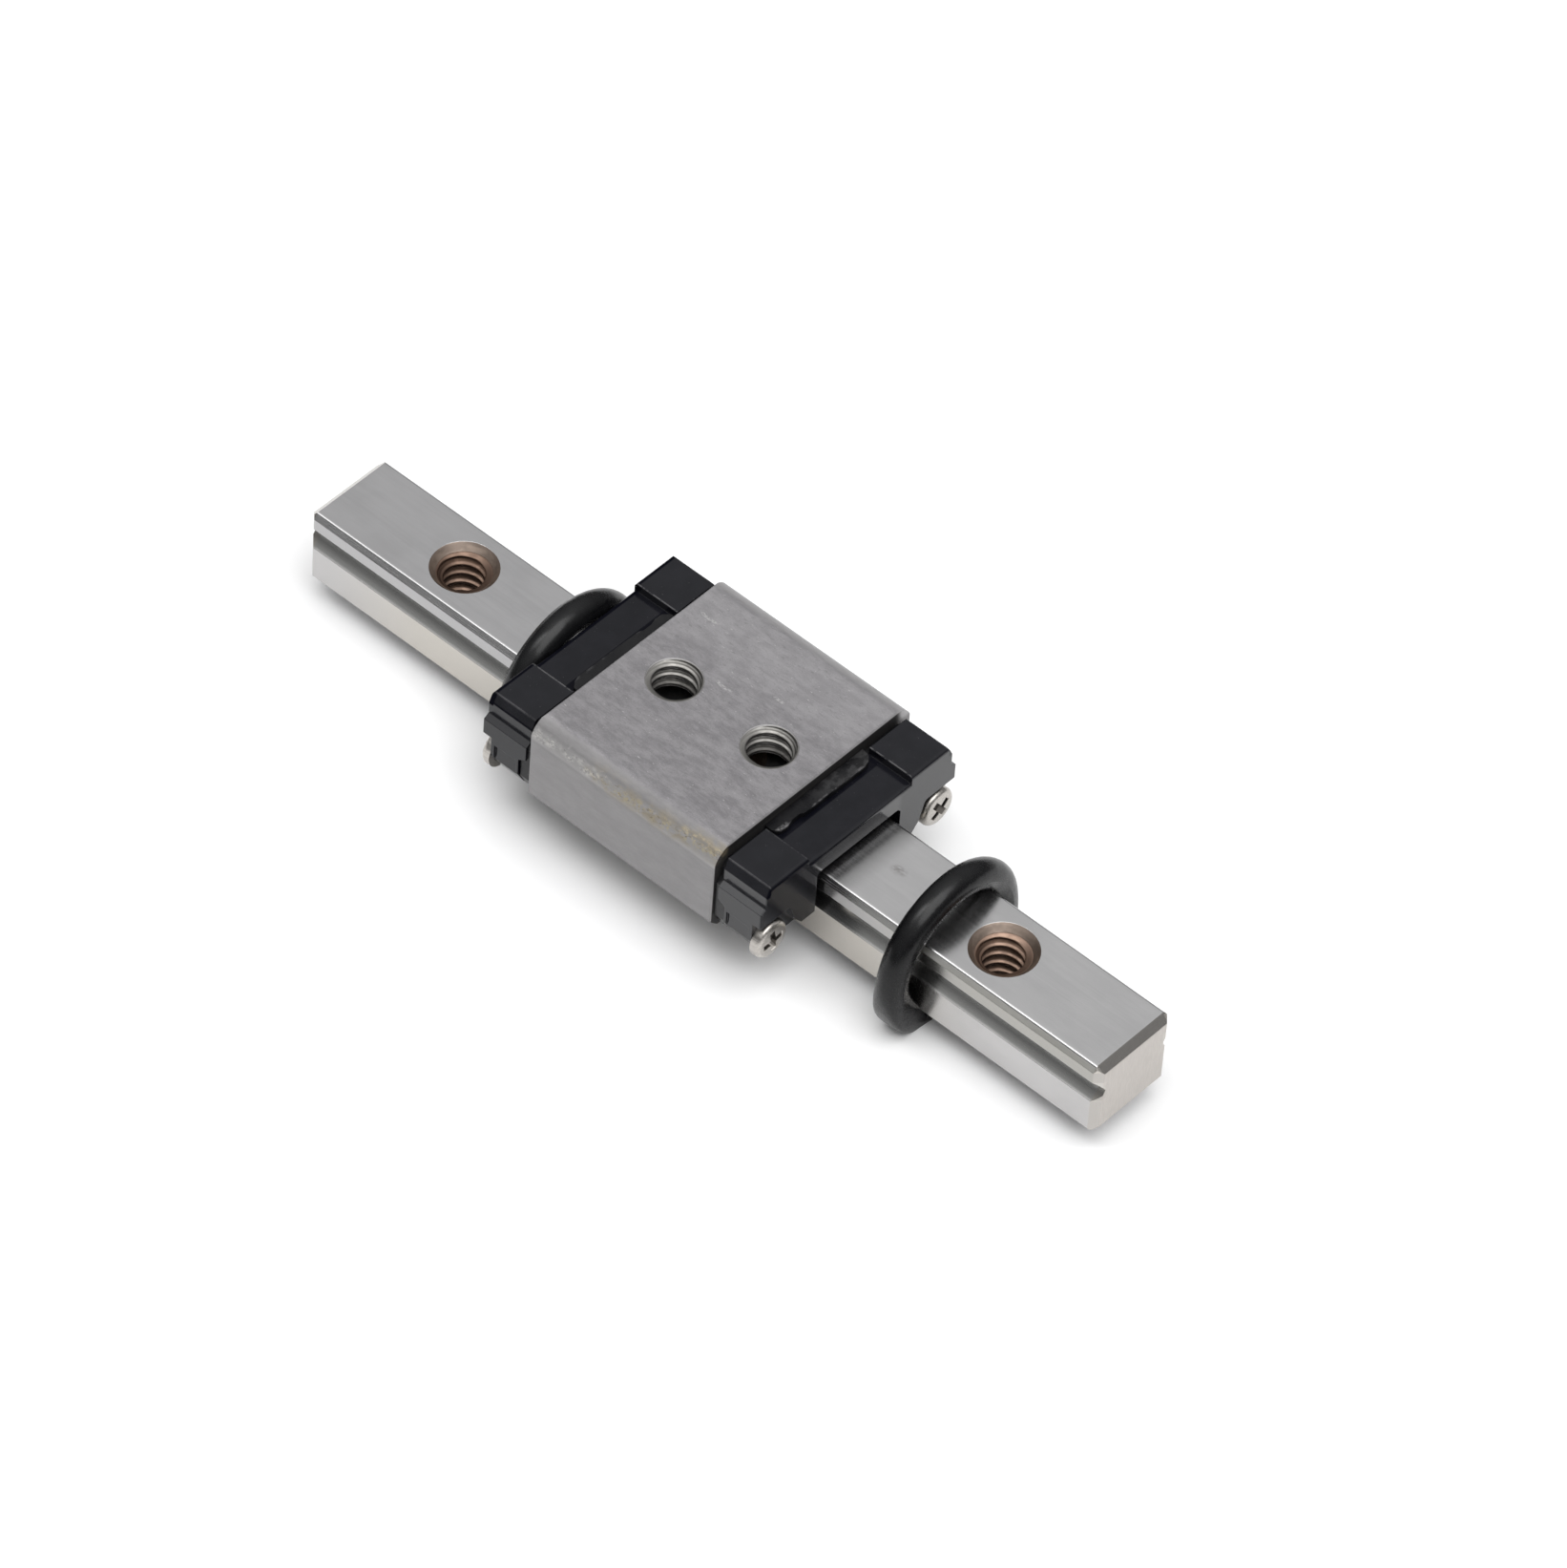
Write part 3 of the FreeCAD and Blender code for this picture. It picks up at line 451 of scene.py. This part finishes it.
# ---------------------------------------------------------------- threads
def thread(name, cx, z0, z1, cone, crest, root, mat, body):
    """Closed sleeve lining a tapped bore: a 0.35 pitch helix that runs out into
    the conical mouth.  cone(z) is the mouth's radius at height z."""
    pitch, outer = 0.35, 0.799
    around, rows = 84, max(24, int((z1 - z0) / 0.020))
    bm = bmesh.new()
    inner = []
    for j in range(rows + 1):
        z = z0 + (z1 - z0) * j / rows
        ring = []
        for i in range(around):
            a = 2 * math.pi * i / around
            ph = (z / pitch - a / (2 * math.pi)) % 1.0
            tri = abs(2 * ph - 1)                       # 0 at the crest, 1 at the root
            r = crest + (root - crest) * min(1.0, max(0.0, (tri - 0.20) / 0.58))
            r = min(outer - 0.004, max(r, cone(z)))
            ring.append(bm.verts.new(((cx + r * math.cos(a)) * MM, r * math.sin(a) * MM, z * MM)))
        inner.append(ring)
    wall = [[bm.verts.new(((cx + outer * math.cos(2 * math.pi * i / around)) * MM,
                           outer * math.sin(2 * math.pi * i / around) * MM, z * MM)) for i in range(around)]
            for z in (z0, z1)]
    for i in range(around):
        k = (i + 1) % around
        for j in range(rows):
            bm.faces.new((inner[j][i], inner[j + 1][i], inner[j + 1][k], inner[j][k]))
        bm.faces.new((wall[0][i], wall[0][k], wall[1][k], wall[1][i]))
        bm.faces.new((inner[0][i], inner[0][k], wall[0][k], wall[0][i]))
        bm.faces.new((inner[-1][i], wall[1][i], wall[1][k], inner[-1][k]))
    bmesh.ops.recalc_face_normals(bm, faces=bm.faces)
    for f in bm.faces:
        f.smooth = True
    me = bpy.data.meshes.new(name)
    bm.to_mesh(me)
    bm.free()
    me.materials.append(mat)
    o = bpy.data.objects.new(name, me)
    scene.collection.objects.link(o)
    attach(o, body)
    return o


for tag, cx in (("rear", -10.0), ("middle", 0.0), ("front", 10.0)):
    thread("rail_thread_" + tag, cx, 0.004, 2.396, lambda z: 0.80 - 1.9 * (2.40 - z), 0.580, 0.750, RAIL_THREAD, "rail")
for tag, cx in (("rear", CAR_X - 1.75), ("front", CAR_X + 1.75)):
    thread("carriage_thread_" + tag, cx, 3.004, 3.966, lambda z: 0.80 - 2.6 * (3.97 - z), 0.635, 0.790, BLOCK_THREAD, "carriage")


# ---------------------------------------------------------------- stage
def floor():
    me = bpy.data.meshes.new("floor")
    bm = bmesh.new()
    bmesh.ops.create_circle(bm, cap_ends=True, segments=96, radius=2.5)
    bm.to_mesh(me)
    bm.free()
    o = bpy.data.objects.new("floor", me)
    o.location = (0, 0, FLOOR_Z)
    scene.collection.objects.link(o)
    s = Shader("pale_floor")
    paper = s.noise((0.35, 0.35, 0.35), 3.0, 0.5)
    # the floor is painted darker away from the object, a painted falloff of the light around it
    light_falloff = s.step(s.vec("LENGTH", s.p), 42.0, 130.0)
    s.set("Base Color", s.mix(light_falloff, s.mix(paper, (0.895, 0.895, 0.898), (0.910, 0.910, 0.910)), (0.300, 0.300, 0.303)))
    s.set("Roughness", 0.9)
    s.set("Specular IOR Level", 0.0)
    me.materials.append(s.mat)


floor()

world = bpy.data.worlds.new("studio")
scene.world = world
world.use_nodes = True
wt = world.node_tree
wt.nodes.clear()
w_out = wt.nodes.new("ShaderNodeOutputWorld")
w_bg = wt.nodes.new("ShaderNodeBackground")
w_tc = wt.nodes.new("ShaderNodeTexCoord")
w_sep = wt.nodes.new("ShaderNodeSeparateXYZ")
w_map = wt.nodes.new("ShaderNodeMapRange")
w_ramp = wt.nodes.new("ShaderNodeValToRGB")
wt.links.new(w_tc.outputs["Generated"], w_sep.inputs[0])
wt.links.new(w_sep.outputs[2], w_map.inputs[0])
for i, q in enumerate((-0.1, 1.0, 0.0, 1.0)):
    w_map.inputs[i + 1].default_value = q
wt.links.new(w_map.outputs[0], w_ramp.inputs[0])
# a small bright lamp high on the left
w_dot = wt.nodes.new("ShaderNodeVectorMath")
w_dot.operation = "DOT_PRODUCT"
wt.links.new(w_tc.outputs["Generated"], w_dot.inputs[0])
w_dot.inputs[1].default_value = (-0.425, -0.390, 0.817)
w_lobe = wt.nodes.new("ShaderNodeMapRange")
w_lobe.interpolation_type = "SMOOTHSTEP"
wt.links.new(w_dot.outputs["Value"], w_lobe.inputs[0])
for i, q in enumerate((0.972, 0.996, 0.0, 1.9)):
    w_lobe.inputs[i + 1].default_value = q
w_rise = wt.nodes.new("ShaderNodeMapRange")
w_rise.interpolation_type = "SMOOTHSTEP"
wt.links.new(w_sep.outputs[2], w_rise.inputs[0])
for i, q in enumerate((0.22, 0.62, 0.0, 1.0)):
    w_rise.inputs[i + 1].default_value = q
w_mul = wt.nodes.new("ShaderNodeMath")
w_mul.operation = "MULTIPLY"
wt.links.new(w_lobe.outputs[0], w_mul.inputs[0])
wt.links.new(w_rise.outputs[0], w_mul.inputs[1])
w_sum = wt.nodes.new("ShaderNodeVectorMath")
w_sum.operation = "ADD"
wt.links.new(w_ramp.outputs[0], w_sum.inputs[0])
wt.links.new(w_mul.outputs[0], w_sum.inputs[1])
# a second one, nearer overhead
w_dot2 = wt.nodes.new("ShaderNodeVectorMath")
w_dot2.operation = "DOT_PRODUCT"
wt.links.new(w_tc.outputs["Generated"], w_dot2.inputs[0])
w_dot2.inputs[1].default_value = (-0.200, -0.330, 0.922)
w_lobe2 = wt.nodes.new("ShaderNodeMapRange")
w_lobe2.interpolation_type = "SMOOTHSTEP"
wt.links.new(w_dot2.outputs["Value"], w_lobe2.inputs[0])
for i, q in enumerate((0.977, 0.996, 0.0, 4.4)):
    w_lobe2.inputs[i + 1].default_value = q
w_sum2 = wt.nodes.new("ShaderNodeVectorMath")
w_sum2.operation = "ADD"
wt.links.new(w_sum.outputs[0], w_sum2.inputs[0])
wt.links.new(w_lobe2.outputs[0], w_sum2.inputs[1])
wt.links.new(w_sum2.outputs[0], w_bg.inputs[0])
wt.links.new(w_bg.outputs[0], w_out.inputs[0])
SKY = ((-0.10, 0.10), (0.05, 0.12), (0.26, 0.18), (0.42, 0.34), (0.57, 0.48), (0.74, 0.65), (0.87, 0.92), (0.95, 1.18), (1.0, 1.22))
w_ramp.color_ramp.interpolation = "EASE"
el = w_ramp.color_ramp.elements
while len(el) < len(SKY):
    el.new(0.5)
for e, (h, q) in zip(el, SKY):
    e.position = (h + 0.1) / 1.1
    e.color = (q * 0.995, q * 0.998, q, 1.0)

sun_data = bpy.data.lights.new("soft_key", "SUN")
sun_data.energy = 1.82
sun_data.angle = math.radians(54)
sun = bpy.data.objects.new("soft_key", sun_data)
scene.collection.objects.link(sun)
sun.rotation_mode = "QUATERNION"
sun.rotation_quaternion = Vector((0.38, -0.10, 0.920)).to_track_quat("Z", "Y")

# ---------------------------------------------------------------- camera
AZ, EL, ROLL = math.radians(38.828), math.radians(47.652), math.radians(4.542)
DIST, FOCAL = 319.265, 12121.67
TARGET = Vector((0.232, 2.097, 0.0))
back = Vector((math.sin(AZ) * math.cos(EL), -math.cos(AZ) * math.cos(EL), math.sin(EL)))
right = Vector((math.cos(AZ), math.sin(AZ), 0.0))
up = back.cross(right)
r2 = math.cos(ROLL) * right + math.sin(ROLL) * up
u2 = -math.sin(ROLL) * right + math.cos(ROLL) * up
cam_data = bpy.data.cameras.new("camera")
cam_data.sensor_fit = "HORIZONTAL"
cam_data.sensor_width = 36.0
cam_data.lens = FOCAL / 1642.0 * 36.0
cam_data.clip_start = 0.01
cam_data.clip_end = 10.0
cam = bpy.data.objects.new("camera", cam_data)
scene.collection.objects.link(cam)
rot = Matrix((r2, u2, back)).transposed().to_4x4()
cam.matrix_world = Matrix.Translation((TARGET + DIST * back) * MM) @ rot
scene.camera = cam

scene.view_settings.view_transform = "Standard"
scene.view_settings.look = "None"

# ---------------------------------------------------------------- update
bpy.context.view_layer.update()
